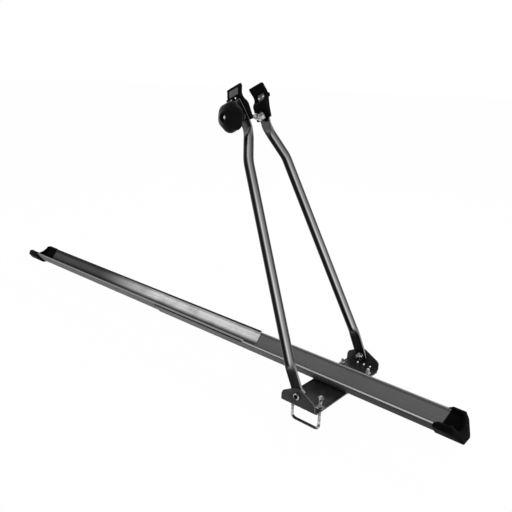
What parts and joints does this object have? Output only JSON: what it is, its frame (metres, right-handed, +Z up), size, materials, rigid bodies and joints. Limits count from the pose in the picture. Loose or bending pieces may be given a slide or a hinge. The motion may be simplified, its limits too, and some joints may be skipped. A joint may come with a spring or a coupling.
{
  "type": "roof mounted bike carrier",
  "caption": "Telescoping wheel tray on a folded bracket that bolts to a roof bar, with two leaning tubular arms that end in jaws and a screw knob to hold a bicycle frame.",
  "frame": {"origin": "middle of the underside of the base bracket, where it rests on the roof bar, midway between the two flanges", "axes": "+X along the tray towards its short end, -Y towards the knob, +Z up"},
  "size_m": [1.4158, 0.2418, 0.6276],
  "materials": {
    "bracket_black": "black paint, satin",
    "rail_metal": "drawn aluminium, satin",
    "arm_metal": "drawn steel tube, bright silver",
    "cap_plastic": "moulded black plastic",
    "jaw_plastic": "moulded black plastic",
    "knob_plastic": "moulded black plastic, half gloss",
    "zinc": "bright zinc plating"
  },
  "bodies": {
    "base": {"base_bracket": "bracket_black", "rail_saddle": "bracket_black", "outer_rail": "rail_metal", "end_cap_right": "cap_plastic", "rail_bolt_left": "zinc", "rail_bolt_right": "zinc", "rail_nut_left": "zinc", "rail_nut_right": "zinc", "near_u_washer_left": "zinc", "near_u_washer_right": "zinc", "far_u_washer_left": "zinc", "far_u_washer_right": "zinc"},
    "inner_tray": {"inner_rail": "rail_metal", "end_cap_left": "cap_plastic", "insert_left": "zinc", "insert_right": "zinc"},
    "near_pivot": {"near_pivot_bolt": "zinc", "near_pivot_washer": "zinc", "near_pivot_nut": "zinc"},
    "near_side": {"near_arm": "arm_metal", "near_jaw": "jaw_plastic", "near_rivet_left": "zinc", "near_rivet_right": "zinc"},
    "far_pivot": {"far_pivot_bolt": "zinc", "far_pivot_washer": "zinc", "far_pivot_nut": "zinc"},
    "far_side": {"far_arm": "arm_metal", "far_jaw": "jaw_plastic", "far_rivet_left": "zinc", "far_rivet_right": "zinc", "clamp_rod": "zinc", "cone_nut": "zinc", "rod_end_nut": "zinc"},
    "knob_seat": {"knob_washer": "zinc"},
    "knob_turn": {"knob": "knob_plastic", "knob_insert": "zinc"},
    "near_bar_bolt": {"near_u_bolt": "zinc", "near_u_nut_left": "zinc", "near_u_nut_right": "zinc"},
    "far_bar_bolt": {"far_u_bolt": "zinc", "far_u_nut_left": "zinc", "far_u_nut_right": "zinc"}
  },
  "joints": [
    {"name": "far_fold", "type": "hinge", "parent": "base", "child": "far_pivot", "pos_m": [-0.0045, 0.11065, 0.022], "axis": [0, 1, 0], "range_deg": [-61, 100]},
    {"name": "near_fold", "type": "hinge", "parent": "base", "child": "near_pivot", "pos_m": [-0.0045, -0.11065, 0.022], "axis": [0, 1, 0], "range_deg": [-61, 100]},
    {"name": "far_close", "type": "hinge", "parent": "far_pivot", "child": "far_side", "pos_m": [-0.0045, 0.11065, 0.022], "axis": [0.9045, 0, 0.4266], "range_deg": [0, 1.21]},
    {"name": "near_close", "type": "hinge", "parent": "near_pivot", "child": "near_side", "pos_m": [-0.0045, -0.11065, 0.022], "axis": [-0.9045, 0, -0.4266], "range_deg": [0, 1.21]},
    {"name": "knob_travel", "type": "slide", "parent": "far_side", "child": "knob_seat", "axis": [0, 1, 0], "range_m": [0, 0.0225]},
    {"name": "knob_spin", "type": "hinge", "parent": "knob_seat", "child": "knob_turn", "pos_m": [-0.23229, -0.06, 0.50498], "axis": [0, 1, 0], "range_deg": [0, 6440]},
    {"name": "tray_slide", "type": "slide", "parent": "base", "child": "inner_tray", "axis": [1, 0, 0], "range_m": [-0.15, 0.05]},
    {"name": "near_bar_bolt_lift", "type": "slide", "parent": "base", "child": "near_bar_bolt", "axis": [0, 0, 1], "range_m": [-0.0154, 0.034]},
    {"name": "far_bar_bolt_lift", "type": "slide", "parent": "base", "child": "far_bar_bolt", "axis": [0, 0, 1], "range_m": [0, 0.044]}
  ],
  "couplings": [
    {"joint": "near_fold", "follows": "far_fold", "ratio": 1},
    {"joint": "far_close", "follows": "knob_spin", "ratio": 0.00018634},
    {"joint": "near_close", "follows": "knob_spin", "ratio": 0.00018634},
    {"joint": "knob_travel", "follows": "knob_spin", "m_per_rad": 0.00019894}
  ]
}
